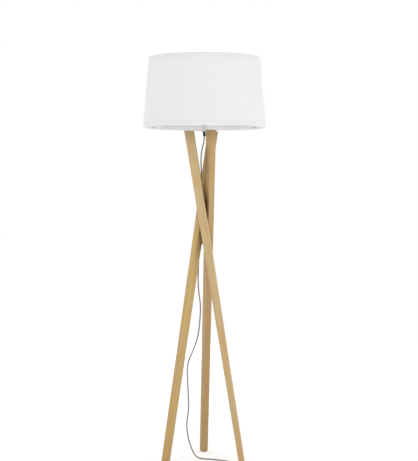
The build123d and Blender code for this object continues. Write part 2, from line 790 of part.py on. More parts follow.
flange_high = switch_top - SWITCH_WALL - BUTTON_CLEARANCE
flange_low = flange_high - BUTTON_FLANGE_T
latch_top = SWITCH_WALL + LATCH_H
button = disc(BUTTON_D, flange_low, switch_top + BUTTON_PROUD)
button = fillet(button.faces().sort_by(Axis.Z)[-1].edges(), BUTTON_CROWN_R)
button = button + disc(BUTTON_FLANGE_D, flange_low, flange_high)
button = button + disc(PLUNGER_D, latch_top - PLUNGER_IN_LATCH, flange_low)
latch = Pos(0, 0, SWITCH_WALL) * Box(
    LATCH_LENGTH, LATCH_WIDTH, LATCH_H, align=(Align.CENTER, Align.CENTER, Align.MIN)
)
latch = latch - disc(
    PLUNGER_D + 2 * BUTTON_CLEARANCE,
    latch_top - PLUNGER_IN_LATCH - BUTTON_TRAVEL - BUTTON_CLEARANCE,
    latch_top,
)

# Plug

plug_corners = [
    (0, PLUG_TAIL_WIDTH / 2),
    (PLUG_LENGTH / 2, PLUG_WAIST_WIDTH / 2),
    (PLUG_LENGTH, PLUG_FACE_WIDTH / 2),
    (PLUG_LENGTH, -PLUG_FACE_WIDTH / 2),
    (PLUG_LENGTH / 2, -PLUG_WAIST_WIDTH / 2),
    (0, -PLUG_TAIL_WIDTH / 2),
]
plug_shell = extrude(
    Pos(0, 0, -PLUG_THICKNESS / 2) * make_face(Polyline(*plug_corners, close=True)),
    amount=PLUG_THICKNESS,
)
plug_shell = fillet(plug_shell.edges().filter_by(Axis.Z), PLUG_EDGE_R)
flat_faces = plug_shell.faces().sort_by(Axis.Z)
plug_shell = fillet(flat_faces[0].edges() + flat_faces[-1].edges(), PLUG_FACE_EDGE_R)
taper = revolve(
    Plane.XZ
    * make_face(
        Polyline(
            (-PLUG_TAPER_LENGTH, 0),
            (-PLUG_TAPER_LENGTH, PLUG_TAPER_TIP_D / 2),
            (PLUG_EDGE_R, PLUG_TAPER_ROOT_D / 2),
            (PLUG_EDGE_R, 0),
            close=True,
        )
    ),
    axis=Axis.X,
)
cord_socket = Pos(-PLUG_TAPER_LENGTH, 0, 0) * Rot(0, 90, 0) * Cylinder(
    bush_bore, CORD_IN_PLUG, align=(Align.CENTER, Align.CENTER, Align.MIN)
)
plug_body = plug_shell + taper - cord_socket
plug_pins = []
for side in (-1, 1):
    start = Vector(PLUG_LENGTH - PIN_SOCKET, side * PIN_SPACING / 2, 0)
    end = Vector(PLUG_LENGTH + PIN_LENGTH, side * PIN_SPACING / 2, 0)
    pin = round_bar(start, end, PIN_D)
    plug_pins.append(fillet(pin.faces().sort_by(Axis.X)[-1].edges(), PIN_TIP_R))
    plug_body = plug_body - round_bar(start, end, PIN_D)
PLUG_PLACE = Pos(PLUG_BODY_X, PLUG_Y, PLUG_AXIS_Z)

nodes = {
    "leg_front_right": legs[0],
    "leg_rear": legs[1],
    "leg_front_left": legs[2],
    "foot_glides": glides,
    "crossing_dowels": around(dowel, LEG_COUNT),
    "top_plate": top_plate,
    "plate_screws": plate_screws,
    "lock_nut": lock_nut,
    "threaded_nipple": nipple,
    "stem_collar": collar,
    "stem_sleeve": sleeve,
    "cord_grip": cord_grip,
    "inner_lead": inner_lead,
    "holder_cap": holder_cap,
    "holder_insert": holder_insert,
    "terminal_screws": terminal_screws,
    "centre_contact": centre_leaf,
    "side_contact": side_leaf,
    "holder_shell": holder_shell,
    "shade_ring": shade_ring,
    "shade_panel": shade_panel,
    "shade_top_hoop": top_hoop,
    "shade_lower_frame": lower_frame,
    "bulb_glass": bulb_glass,
    "bulb_cap": bulb_cap,
    "bulb_contact": bulb_contact,
    "cord_drop": cord_drop,
    "switch_base": SWITCH_PLACE * switch_base,
    "switch_cover": SWITCH_PLACE * switch_cover,
    "switch_button": SWITCH_PLACE * button,
    "switch_latch": SWITCH_PLACE * latch,
    "switch_screws": [SWITCH_PLACE * screw for screw in case_screws],
    "switch_bushings": [SWITCH_PLACE * bush for bush in bushings],
    "cord_lead": cord_lead,
    "cord_coil": cord_coil,
    "cord_tie": cord_tie,
    "cord_tail": cord_tail,
    "plug_body": PLUG_PLACE * plug_body,
    "plug_pins": [PLUG_PLACE * pin for pin in plug_pins],
}

print("lap of the legs", round(lap_depth, 2), "at height", round(lap_middle.Z, 1))
os.makedirs("parts", exist_ok=True)
for name, piece in nodes.items():
    shape = Compound(children=piece) if isinstance(piece, list) else piece
    export_step(shape, f"parts/{name}.step")
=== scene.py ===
import math

import bmesh
import bpy
from mathutils import Matrix, Vector


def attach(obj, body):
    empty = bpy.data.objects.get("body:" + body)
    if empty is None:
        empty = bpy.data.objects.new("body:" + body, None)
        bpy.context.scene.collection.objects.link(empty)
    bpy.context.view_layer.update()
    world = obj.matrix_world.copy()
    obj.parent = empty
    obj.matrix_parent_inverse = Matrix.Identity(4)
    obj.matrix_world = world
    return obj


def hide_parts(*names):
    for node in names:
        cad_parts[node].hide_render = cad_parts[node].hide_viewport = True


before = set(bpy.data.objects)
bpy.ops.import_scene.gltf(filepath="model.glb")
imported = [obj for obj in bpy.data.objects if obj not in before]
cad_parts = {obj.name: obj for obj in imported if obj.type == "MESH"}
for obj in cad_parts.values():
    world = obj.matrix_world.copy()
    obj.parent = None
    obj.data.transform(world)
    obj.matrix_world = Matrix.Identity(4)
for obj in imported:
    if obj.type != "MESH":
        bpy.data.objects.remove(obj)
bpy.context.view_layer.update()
scene = bpy.context.scene
scene.view_settings.view_transform = "Standard"

# Legs: three tapered bars of pale oak with eased edges, sanded and sealed with clear matt lacquer.
# Each leans and twists round the lamp's axis, so its grain is turned to run from foot to top, and
# each comes from another board. Painted shade darkens the wood at the tops under the lampshade,
# at the crossing and on the laps.
FOOT_CIRCLE = 0.159
TOP_CIRCLE = 0.056
FIRST_FOOT = math.radians(-30)
LEG_TWIST = math.radians(205.7)
LEG_TOP = 1.199
# For each leg: pale wood, deep wood, foot wear, painted shade on the lap, height where it starts.
LEG_TONES = {
    "leg_front_right": ((0.720, 0.553, 0.284), (0.508, 0.353, 0.153), 0.25, 0.0, 0.80),
    "leg_rear": ((0.616, 0.426, 0.184), (0.387, 0.237, 0.085), 0.80, 0.75, 0.80),
    "leg_front_left": ((0.721, 0.515, 0.191), (0.474, 0.304, 0.090), 0.64, 0.30, 0.70),
}
BOARD_STEP = Vector((0.11, 0.07, 0.9))
RING_WIDTH = 0.0042
# Dark brown of the painted shade, and its masks: the lampshade's shadow on the leg tops, shade near the
# axis at the crossing, and shade on the laps.
PAINTED_SHADE_TONE = (0.125, 0.062, 0.020, 1)
WORN_BELOW = 0.55
TOP_PAINTED_SHADOW = (1.145, 1.20, 0.0, 0.42)
AXIS_REACH, AXIS_PAINTED_SHADE = (0.020, 0.012), (1.01, 0.95, 0.0, 0.62)
LAP_FACE, LAP_DEPTH = (-0.008, -0.010), (0.010, -0.008)
LAP_INNER, LAP_UPPER, LAP_CROSSING = (1.02, 1.06), (1.16, 1.12), (1.00, 0.93)
LAP_FADE = 0.06


def put(tree, kind, wires=None, **settings):
    """Adds a node, sets its properties, and sets or wires its inputs."""
    made = tree.nodes.new(kind)
    for key, value in settings.items():
        setattr(made, key, value)
    for socket, value in (wires or {}).items():
        if isinstance(value, bpy.types.NodeSocket):
            tree.links.new(value, made.inputs[socket])
        else:
            made.inputs[socket].default_value = value
    return made


def calc(tree, operation, a, b=0.0, c=0.0):
    return put(tree, "ShaderNodeMath", {0: a, 1: b, 2: c}, operation=operation).outputs[0]


def fade(tree, value, low, high, to_low=0.0, to_high=1.0):
    """Maps a value from one range to another and clamps it."""
    wires = {0: value, 1: low, 2: high, 3: to_low, 4: to_high}
    return put(tree, "ShaderNodeMapRange", wires, clamp=True).outputs[0]


def blend_colours(tree, share, a, b, way="MIX"):
    wires = {0: share, 6: a, 7: b}
    made = put(tree, "ShaderNodeMix", wires, data_type="RGBA", blend_type=way)
    return made.outputs[2]


def noise(tree, at, scale, detail=2.0, roughness=0.5):
    wires = {"Vector": at, "Scale": scale, "Detail": detail, "Roughness": roughness}
    return put(tree, "ShaderNodeTexNoise", wires).outputs["Fac"]


def stretched(tree, at, scale, place=(0, 0, 0), turn=(0, 0, 0)):
    wires = {"Vector": at, "Location": place, "Rotation": turn, "Scale": scale}
    return put(tree, "ShaderNodeMapping", wires).outputs[0]


def shared_effect(name, inputs, outputs):
    """Empty shader node group with named sockets."""
    group = bpy.data.node_groups.new(name, "ShaderNodeTree")
    for label, kind in inputs:
        group.interface.new_socket(label, in_out="INPUT", socket_type="NodeSocket" + kind)
    for label, kind in outputs:
        group.interface.new_socket(label, in_out="OUTPUT", socket_type="NodeSocket" + kind)
    return group, put(group, "NodeGroupInput").outputs, put(group, "NodeGroupOutput").inputs


def new_finish(name, colour, roughness):
    finish = bpy.data.materials.new(name)
    finish.use_nodes = True
    shader = finish.node_tree.nodes["Principled BSDF"]
    shader.inputs["Base Color"].default_value = (*colour, 1)
    shader.inputs["Roughness"].default_value = roughness
    return finish, finish.node_tree, shader


def object_place(tree):
    return put(tree, "ShaderNodeTexCoord").outputs["Object"]


def raise_surface(tree, shader, height, distance, strength=1.0):
    wires = {"Height": height, "Distance": distance, "Strength": strength}
    bump = put(tree, "ShaderNodeBump", wires)
    tree.links.new(bump.outputs[0], shader.inputs["Normal"])


def give(node, finish):
    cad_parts[node].material_slots[0].material = finish


oak, ins, outs = shared_effect(
    "oak_grain",
    [("Along", "Vector"), ("Worn", "Float"), ("Stain_and_Shade", "Float"), ("Pale", "Color"), ("Deep", "Color")],
    [("Color", "Color"), ("Roughness", "Float"), ("Height", "Float")],
)
along = ins["Along"]
wander = noise(oak, stretched(oak, along, (14, 14, 2.2)), 1.0, 2.0)
wander = calc(oak, "MULTIPLY_ADD", wander, 0.022, -0.011)
offset = put(oak, "ShaderNodeCombineXYZ", {0: wander, 1: wander})
bent = put(oak, "ShaderNodeVectorMath", {0: along, 1: offset.outputs[0]}, operation="ADD").outputs[0]
from_pith = stretched(oak, bent, (1, 1, 0.012), (0.052, 0.021, 0))
pith = put(oak, "ShaderNodeVectorMath", {0: from_pith}, operation="LENGTH").outputs["Value"]
ring = calc(oak, "FRACT", calc(oak, "MULTIPLY", pith, 1 / RING_WIDTH))
late_wood = calc(oak, "MULTIPLY", fade(oak, ring, 0.25, 0.92), fade(oak, ring, 1.0, 0.93))
streaks = fade(oak, noise(oak, stretched(oak, along, (95, 95, 2.6)), 1.0, 3.0, 0.6), 0.32, 0.68)
fibres = noise(oak, stretched(oak, bent, (1500, 1500, 22)), 1.0, 2.0, 0.6)
pore_noise = noise(oak, stretched(oak, bent, (2600, 2600, 75)), 1.0, 1.0)
pores = calc(oak, "MULTIPLY", fade(oak, pore_noise, 0.60, 0.70), fade(oak, ring, 0.55, 0.15))
deep = calc(oak, "MULTIPLY_ADD", late_wood, 0.30, calc(oak, "MULTIPLY", streaks, 0.50))
deep = calc(oak, "ADD", deep, fade(oak, fibres, 0.3, 0.7, 0.0, 0.28))
body = blend_colours(oak, deep, ins["Pale"], ins["Deep"])
honey = noise(oak, stretched(oak, bent, (125, 125, 11)), 1.0, 3.0, 0.6)
body = blend_colours(oak, fade(oak, honey, 0.47, 0.66, 0.0, 0.7), body, (0.600, 0.340, 0.125, 1))
beige = noise(oak, stretched(oak, bent, (100, 100, 7), (7, 3, 5)), 1.0, 2.0)
body = blend_colours(oak, fade(oak, beige, 0.52, 0.70, 0.0, 0.5), body, (0.540, 0.420, 0.270, 1))
body = blend_colours(oak, ins["Worn"], body, ins["Deep"])
pored = calc(oak, "MULTIPLY", pores, 0.45)
body = blend_colours(oak, pored, body, (0.20, 0.115, 0.05, 1))
# The last mix darkens the wood with painted shade.
oak.links.new(blend_colours(oak, ins["Stain_and_Shade"], body, PAINTED_SHADE_TONE), outs["Color"])
oak.links.new(fade(oak, calc(oak, "ADD", fibres, pores), 0.3, 1.4, 0.46, 0.66), outs["Roughness"])
rise = calc(oak, "MULTIPLY_ADD", fibres, 0.35, calc(oak, "MULTIPLY", pores, -0.9))
oak.links.new(calc(oak, "MULTIPLY_ADD", late_wood, 0.15, rise), outs["Height"])

for number, (leg, (pale, deep_tone, wear, lap_shade_strength, lap_low)) in enumerate(LEG_TONES.items()):
    foot_angle = FIRST_FOOT + number * math.tau / 3
    top_angle = foot_angle + LEG_TWIST
    foot = Vector((FOOT_CIRCLE * math.cos(foot_angle), FOOT_CIRCLE * math.sin(foot_angle), 0))
    top = Vector((TOP_CIRCLE * math.cos(top_angle), TOP_CIRCLE * math.sin(top_angle), LEG_TOP))
    axis = (top - foot).normalized()
    thick = axis.cross(Vector((math.cos(top_angle), math.sin(top_angle), 0))).normalized()
    to_leg = Matrix((thick.cross(axis), thick, axis))
    board = BOARD_STEP * number
    finish, tree, shader = new_finish("oak_" + leg, pale, 0.5)
    shader.inputs["Coat Weight"].default_value = 0.08
    shader.inputs["Coat Roughness"].default_value = 0.35
    at = stretched(tree, object_place(tree), (1, 1, 1), board - to_leg @ foot, to_leg.to_euler())
    level = put(tree, "ShaderNodeSeparateXYZ", {0: object_place(tree)}).outputs[2]
    worn = fade(tree, level, WORN_BELOW, 0.0, 0.0, wear)
    # Painted shade: darker where a leg laps on another, at the crossing near the axis, and at the tops
    # under the lampshade.
    place = put(tree, "ShaderNodeSeparateXYZ", {0: at}).outputs
    flank = fade(tree, place[1], board.y + LAP_FACE[0], board.y + LAP_FACE[1])
    inner = fade(tree, place[0], board.x + LAP_DEPTH[0], board.x + LAP_DEPTH[1])
    inner = calc(tree, "MULTIPLY", inner, fade(tree, level, *LAP_INNER))
    lap_shade = calc(tree, "MULTIPLY", fade(tree, inner, 0, 1, 0.18, 0.80), fade(tree, level, *LAP_UPPER))
    lap_shade = calc(tree, "MAXIMUM", lap_shade, fade(tree, level, *LAP_CROSSING))
    lap_shade = calc(tree, "MULTIPLY", lap_shade, fade(tree, level, lap_low, lap_low + LAP_FADE, 0.0, lap_shade_strength))
    off_axis = stretched(tree, object_place(tree), (1, 1, 0))
    reach = put(tree, "ShaderNodeVectorMath", {0: off_axis}, operation="LENGTH").outputs["Value"]
    axis_shade = calc(tree, "MULTIPLY", fade(tree, reach, *AXIS_REACH), fade(tree, level, *AXIS_PAINTED_SHADE))
    stain_and_shade = calc(tree, "MAXIMUM", calc(tree, "MULTIPLY", lap_shade, flank), axis_shade)
    stain_and_shade = calc(tree, "MAXIMUM", stain_and_shade, fade(tree, level, *TOP_PAINTED_SHADOW))
    wires = {"Along": at, "Worn": worn, "Stain_and_Shade": stain_and_shade, "Pale": (*pale, 1), "Deep": (*deep_tone, 1)}
    grain = put(tree, "ShaderNodeGroup", wires, node_tree=oak).outputs
    tree.links.new(grain["Color"], shader.inputs["Base Color"])
    tree.links.new(grain["Roughness"], shader.inputs["Roughness"])
    raise_surface(tree, shader, grain["Height"], 0.0004)
    give(leg, finish)

# Foot glides: black plastic discs under the feet, with a rounded rim and a nail sunk in a dished
# seat. They are moulded once and copied to the three feet.
GLIDE_R = 0.008
NAIL_R, NAIL_SEAT = 0.0035, 0.0015
ON_AXIS = 1e-7
DOUBLES = 1e-6
SMOOTH_ANGLE = math.radians(35)


def start_piece(name):
    """Names the primitive just added and puts its place into its mesh."""
    piece = bpy.context.object
    piece.name = name
    bpy.ops.object.transform_apply(location=True, rotation=True, scale=True)
    bpy.ops.object.mode_set(mode="EDIT")
    bpy.ops.mesh.select_all(action="SELECT")
    return piece


def close_piece(piece, angle=SMOOTH_ANGLE):
    """Merges doubles, turns the faces outwards and smooths all but the sharp edges."""
    bpy.ops.mesh.select_all(action="SELECT")
    bpy.ops.mesh.remove_doubles(threshold=DOUBLES)
    bpy.ops.mesh.normals_make_consistent(inside=False)
    bpy.ops.object.mode_set(mode="OBJECT")
    bpy.ops.object.shade_smooth_by_angle(angle=angle)
    return piece


def pick(piece, kind, test):
    """Selects only the faces, edges or verts whose middle passes the test."""
    bpy.ops.mesh.select_mode(type={"faces": "FACE", "edges": "EDGE", "verts": "VERT"}[kind])
    bpy.ops.mesh.select_all(action="DESELECT")
    mesh = bmesh.from_edit_mesh(piece.data)
    for part in getattr(mesh, kind):
        if kind == "verts":
            middle = part.co
        else:
            middle = sum((v.co for v in part.verts), Vector()) / len(part.verts)
        if test(middle, part):
            part.select_set(True)
    mesh.select_flush_mode()
    bmesh.update_edit_mesh(piece.data)


def turned_piece(name, outline, sides=48, capped=False):
    """Turned about Z: a circle drawn through (radius, height) steps, left in edit mode.
    A step at ON_AXIS ends in a point once close_piece merges its doubles."""
    bpy.ops.object.select_all(action="DESELECT")
    fill = "NGON" if capped else "NOTHING"
    radius, height = outline[0]
    bpy.ops.mesh.primitive_circle_add(
        vertices=sides, radius=radius, fill_type=fill, location=(0, 0, height)
    )
    piece = start_piece(name)
    pick(piece, "edges", lambda middle, edge: True)
    for (r0, z0), (r1, z1) in zip(outline, outline[1:]):
        bpy.ops.mesh.extrude_edges_move(TRANSFORM_OT_translate={"value": (0, 0, z1 - z0)})
        bpy.ops.transform.resize(value=(r1 / r0, r1 / r0, 1), center_override=(0, 0, z1))
    return piece


def settle(piece, body, slot, finishes, *nodes):
    """Gives the finished piece its materials and body, and hides the nodes that it stands for.
    The slot is not used.
    """
    for finish in finishes:
        piece.data.materials.append(finish)
    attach(piece, body)
    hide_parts(*nodes)


def copies(piece, places):
    """Copies a piece, each copy with its own mesh, to the places, and joins them into one."""
    name = piece.name
    made = []
    for place in places:
        other = piece.copy()
        other.data = piece.data.copy()
        other.matrix_world = place
        scene.collection.objects.link(other)
        made.append(other)
    bpy.data.objects.remove(piece)
    bpy.ops.object.select_all(action="DESELECT")
    for other in made:
        other.select_set(True)
    bpy.context.view_layer.objects.active = made[0]
    bpy.ops.object.transform_apply(location=True, rotation=True, scale=True)
    bpy.ops.object.join()
    made[0].name = name
    return made[0]


skin, ins, outs = shared_effect(
    "moulded_skin",
    [("At", "Vector"), ("Color", "Color"), ("Grain", "Float"), ("Smooth", "Float"), ("Dull", "Float")],
    [("Color", "Color"), ("Roughness", "Float"), ("Height", "Float")],
)
fine = noise(skin, ins["At"], ins["Grain"], 2.0, 0.6)
cloudy = noise(skin, ins["At"], 42.0, 3.0)
rubbed = noise(skin, stretched(skin, ins["At"], (310, 290, 120)), 1.0, 4.0, 0.65)
darker = blend_colours(skin, 1.0, ins["Color"], (0.93, 0.93, 0.93, 1), "MULTIPLY")
skin.links.new(blend_colours(skin, fade(skin, cloudy, 0.35, 0.7), ins["Color"], darker), outs["Color"])
worn = calc(skin, "ADD", calc(skin, "MULTIPLY", cloudy, 0.5), calc(skin, "MULTIPLY", rubbed, 0.5))
spread = put(skin, "ShaderNodeMapRange", {0: worn, 1: 0.35, 2: 0.65, 3: ins["Smooth"], 4: ins["Dull"]})
skin.links.new(spread.outputs[0], outs["Roughness"])
skin.links.new(fine, outs["Height"])


def skinned_finish(name, colour, grain, smooth, dull, depth):
    """Moulded or coated surface: its colour, grain per metre, roughness range and grain depth."""
    finish, tree, shader = new_finish(name, colour, dull)
    wires = {"At": object_place(tree), "Color": (*colour, 1), "Grain": grain}
    wires.update({"Smooth": smooth, "Dull": dull})
    made = put(tree, "ShaderNodeGroup", wires, node_tree=skin).outputs
    tree.links.new(made["Color"], shader.inputs["Base Color"])
    tree.links.new(made["Roughness"], shader.inputs["Roughness"])
    raise_surface(tree, shader, made["Height"], depth)
    return finish


lines, ins, outs = shared_effect(
    "drawn_lines",
    [("At", "Vector"), ("Smooth", "Float"), ("Dull", "Float")],
    [("Roughness", "Float"), ("Height", "Float"), ("Stain_and_Shade", "Float")],
)
scratches = noise(lines, stretched(lines, ins["At"], (60, 60, 4200)), 1.0, 3.0, 0.6)
blotches = noise(lines, ins["At"], 55.0, 3.0)
wires = {0: scratches, 1: 0.3, 2: 0.7, 3: ins["Smooth"], 4: ins["Dull"]}
spread = put(lines, "ShaderNodeMapRange", wires)
lines.links.new(spread.outputs[0], outs["Roughness"])
lines.links.new(scratches, outs["Height"])
lines.links.new(fade(lines, blotches, 0.4, 0.72), outs["Stain_and_Shade"])


def metal_finish(name, colour, stain_and_shade, smooth, dull, depth):
    """Bare or plated metal with fine drawn lines round the upright axis and faint stains."""
    finish, tree, shader = new_finish(name, colour, dull)
    shader.inputs["Metallic"].default_value = 1.0
    wires = {"At": object_place(tree), "Smooth": smooth, "Dull": dull}
    made = put(tree, "ShaderNodeGroup", wires, node_tree=lines).outputs
    tone = blend_colours(tree, made["Stain_and_Shade"], (*colour, 1), (*stain_and_shade, 1))
    tree.links.new(tone, shader.inputs["Base Color"])
    tree.links.new(made["Roughness"], shader.inputs["Roughness"])
    raise_surface(tree, shader, made["Height"], depth)
    return finish


steel = metal_finish("zinc_steel", (0.62, 0.62, 0.61), (0.50, 0.50, 0.50), 0.28, 0.46, 0.00003)
glide_plastic = skinned_finish("glide_plastic", (0.035, 0.030, 0.027), 2600.0, 0.45, 0.65, 0.00006)
glide_outline = [
    (0.0074, 0.0020), (0.0079, 0.0017), (GLIDE_R, 0.0012), (GLIDE_R, 0.0008), (0.0077, 0.0003),
    (0.0072, 0.0), (0.0046, 0.0), (0.0041, 0.0004), (0.0038, 0.0010), (0.0033, 0.0010),
    (0.0031, 0.0006), (0.0022, 0.0004), (0.0010, 0.0003), (ON_AXIS, 0.0003),
]
glide = turned_piece("foot_glide_set", glide_outline, 32, True)
pick(glide, "faces", lambda middle, face: middle.xy.length < NAIL_R and middle.z < NAIL_SEAT)
glide.data.materials.append(glide_plastic)
glide.data.materials.append(steel)
glide.active_material_index = 1
bpy.ops.object.material_slot_assign()
glide = close_piece(glide)
feet = []
for number in range(3):
    angle = FIRST_FOOT + number * math.tau / 3
    feet.append(Matrix.Translation((FOOT_CIRCLE * math.cos(angle), FOOT_CIRCLE * math.sin(angle), 0)))
settle(copies(glide, feet), "stand", "glide_plastic", [], "foot_glides")
give("crossing_dowels", steel)

# Top plate: laser-cut steel with three arms on the leg tops, powder coated white. Its cut edges are
# eased, and the screws sit flush in countersinks.
TOP_PLATE_Z = 1.202
FLAT_ANGLE = math.radians(0.5)
SHARP_ANGLE = math.radians(40)


def merge_doubles():
    """Welds points of the active piece that lie on one another."""
    bpy.ops.object.mode_set(mode="EDIT")
    bpy.ops.mesh.select_all(action="SELECT")
    bpy.ops.mesh.remove_doubles(threshold=DOUBLES)
    bpy.ops.object.mode_set(mode="OBJECT")


def eased_copy(node, width, name):
    """Copy of a solid with its sharp edges eased by a narrow bevel."""
    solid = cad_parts[node]
    piece = bpy.data.objects.new(name, solid.data.copy())
    scene.collection.objects.link(piece)
    piece.data.materials.clear()
    bpy.ops.object.select_all(action="DESELECT")
    piece.select_set(True)
    bpy.context.view_layer.objects.active = piece
    bpy.ops.object.mode_set(mode="EDIT")
    bpy.ops.mesh.select_all(action="SELECT")
    bpy.ops.mesh.remove_doubles(threshold=DOUBLES)
    bpy.ops.mesh.customdata_custom_splitnormals_clear()
    bpy.ops.mesh.dissolve_limited(angle_limit=FLAT_ANGLE)
    bpy.ops.object.mode_set(mode="OBJECT")
    ease = piece.modifiers.new("ease", "BEVEL")
    ease.width = width
    ease.segments = 2
    ease.limit_method = "ANGLE"
    ease.angle_limit = SHARP_ANGLE
    bpy.ops.object.modifier_apply(modifier=ease.name)
    merge_doubles()
    bpy.ops.object.shade_smooth_by_angle(angle=SHARP_ANGLE)
    return piece


white_coat = skinned_finish("white_powder_coat", (0.80, 0.80, 0.79), 1500.0, 0.38, 0.50, 0.00003)
plate = eased_copy("top_plate", 0.0005, "eased_top_plate")
settle(plate, "stand", "white_metal", [white_coat], "top_plate")

# Plate screws: zinc-plated countersunk wood screws with a cross recess in the head, two through
# each arm of the plate into the top of a leg.
SCREW_HEAD = 0.0042
ARM_SPACING = 0.015
SCREW_TURN = 0.7
RECESS, RECESS_TAPER = (0.0046, 0.0011, 0.003), (0.35, 0.35)
screw_outline = [
    (0.00205, TOP_PLATE_Z - 0.012), (0.0021, TOP_PLATE_Z - 0.0022), (0.0041, TOP_PLATE_Z - 0.0003),
    (SCREW_HEAD, TOP_PLATE_Z - 0.0001), (0.0041, TOP_PLATE_Z), (ON_AXIS, TOP_PLATE_Z),
]
screw = close_piece(turned_piece("cross_screw_set", screw_outline, 32, True))


def cutter_block(size, taper, height=0.0):
    """Block for cutting, centred at that height, with its lower end drawn in."""
    bpy.ops.object.select_all(action="DESELECT")
    bpy.ops.mesh.primitive_cube_add(size=1, location=(0, 0, height))
    block = start_piece("cutter")
    bpy.ops.transform.resize(value=size, center_override=(0, 0, height))
    pick(block, "verts", lambda middle, vert: middle.z < height)
    bpy.ops.transform.resize(value=(*taper, 1), center_override=(0, 0, height))
    bpy.ops.object.mode_set(mode="OBJECT")
    return block


def cut_away(piece, cutter):
    """Cuts one piece out of another and removes the cutter."""
    cut = piece.modifiers.new("cut", "BOOLEAN")
    cut.operation = "DIFFERENCE"
    cut.solver = "EXACT"
    cut.object = cutter
    bpy.ops.object.select_all(action="DESELECT")
    piece.select_set(True)
    bpy.context.view_layer.objects.active = piece
    bpy.ops.object.modifier_apply(modifier=cut.name)
    merge_doubles()
    bpy.data.objects.remove(cutter)


for turn in (0, math.pi / 2):
    blade = cutter_block(RECESS, RECESS_TAPER, TOP_PLATE_Z)
    cut_away(screw, copies(blade, [Matrix.Rotation(turn, 4, "Z")]))
places = []
for number in range(3):
    arm = FIRST_FOOT + LEG_TWIST + number * math.tau / 3
    for side in (-0.5, 0.5):
        reach = TOP_CIRCLE + side * ARM_SPACING
        at = Matrix.Translation((reach * math.cos(arm), reach * math.sin(arm), 0))
        places.append(at @ Matrix.Rotation(SCREW_TURN * len(places), 4, "Z"))
settle(copies(screw, places), "stand", "bare_steel", [steel], "plate_screws")

# Stem: a threaded nipple through the plate with a lock nut below, a white collar and a satin
# nickel sleeve above, up to the lampholder.
nut = eased_copy("lock_nut", 0.0005, "eased_lock_nut")
settle(nut, "stand", "bare_steel", [steel], "lock_nut")
give("threaded_nipple", steel)
give("stem_collar", white_coat)
nickel = metal_finish("satin_nickel", (0.74, 0.73, 0.72), (0.66, 0.65, 0.64), 0.30, 0.42, 0.00002)
give("stem_sleeve", nickel)

# Cord grip: black nylon bush with a waist and a rounded end, moulded in one and screwed into the
# stem from below, over the cord.
black_plastic = skinned_finish("black_nylon", (0.012, 0.012, 0.013), 3200.0, 0.36, 0.56, 0.00008)
give("cord_grip", black_plastic)

# Lampholder: white plastic cap and shell for a screw bulb. The shell carries a coarse outside
# thread for the shade's ring nut, above a flange that the shade rests on.
SHELL_LOW, SHELL_HIGH = 1.2590, 1.2975
SHELL_THREAD = (1.2619, 1.2968)
SHELL_R, SHELL_BORE = 0.0198, 0.0148
THREAD_ROWS, THREAD_PITCH, THREAD_DEPTH = 97, 0.0025, 0.0009
white_plastic = skinned_finish("white_plastic", (0.80, 0.80, 0.78), 2200.0, 0.34, 0.42, 0.000002)


def cut_thread(piece, low, high, rows, pitch, depth, wall):
    """Divides the upright wall into rows and sinks a screw thread of that depth into it."""
    pick(
        piece, "edges",
        lambda middle, edge: abs(middle.xy.length - wall) < 0.0004
        and abs(edge.verts[0].co.z - edge.verts[1].co.z) > 0.8 * (high - low),
    )
    bpy.ops.mesh.subdivide(number_cuts=rows)
    mesh = bmesh.from_edit_mesh(piece.data)
    for vert in mesh.verts:
        if abs(vert.co.xy.length - wall) > 0.0002 or not low < vert.co.z < high:
            continue
        turn = math.atan2(vert.co.y, vert.co.x) / math.tau
        runout = min((vert.co.z - low) / pitch, (high - vert.co.z) / pitch, 1)
        sink = depth * runout * (0.5 - 0.5 * math.cos(math.tau * (vert.co.z / pitch - turn)))
        vert.co.xy = vert.co.xy * (1 - sink / wall)
    bmesh.update_edit_mesh(piece.data)


shell_outline = [
    (SHELL_BORE, SHELL_LOW), (0.0232, SHELL_LOW), (0.0235, SHELL_LOW + 0.0003), (0.0235, 1.2612),
    (0.0232, 1.2615), (0.0203, 1.2615), (SHELL_R, SHELL_THREAD[0]), (SHELL_R, SHELL_THREAD[1]),
    (0.0191, SHELL_HIGH),
    (0.0155, SHELL_HIGH), (SHELL_BORE, 1.2969), (SHELL_BORE, SHELL_LOW),
]
shell = turned_piece("threaded_shell", shell_outline, 72)
cut_thread(shell, *SHELL_THREAD, THREAD_ROWS, THREAD_PITCH, THREAD_DEPTH, SHELL_R)
settle(close_piece(shell), "stand", "white_plastic", [white_plastic], "holder_shell")
give("holder_cap", white_plastic)
ceramic = skinned_finish("holder_ceramic", (0.76, 0.74, 0.69), 1800.0, 0.42, 0.60, 0.00008)
give("holder_insert", ceramic)
brass = metal_finish("contact_brass", (0.70, 0.50, 0.22), (0.55, 0.37, 0.15), 0.25, 0.42, 0.00002)
for node in ("centre_contact", "side_contact"):
    give(node, brass)
give("terminal_screws", steel)

# Bulb: opal glass globe cemented into a rolled screw cap. A ring of black glass holds the soldered
# contact at the tip.
CAP_LOW, CAP_HIGH, CAP_R = 1.2713, 1.2953, 0.0131
CAP_THREAD = (CAP_LOW + 0.0016, CAP_HIGH - 0.0022)
CAP_ROWS, CAP_PITCH, CAP_DEPTH = 58, 0.0036, 0.0010
SOLDER_R = 0.0050
opal, tree, shader = new_finish("opal_glass", (0.86, 0.86, 0.84), 0.18)
shader.inputs["Subsurface Weight"].default_value = 0.25
shader.inputs["Subsurface Radius"].default_value = (0.01, 0.01, 0.01)
shader.inputs["Subsurface Scale"].default_value = 0.4
cloud = noise(tree, object_place(tree), 90.0, 2.0)
milk = blend_colours(tree, fade(tree, cloud, 0.3, 0.7), (0.84, 0.84, 0.82, 1), (0.89, 0.89, 0.88, 1))
tree.links.new(milk, shader.inputs["Base Color"])
tree.links.new(fade(tree, cloud, 0.3, 0.7, 0.15, 0.24), shader.inputs["Roughness"])
give("bulb_glass", opal)
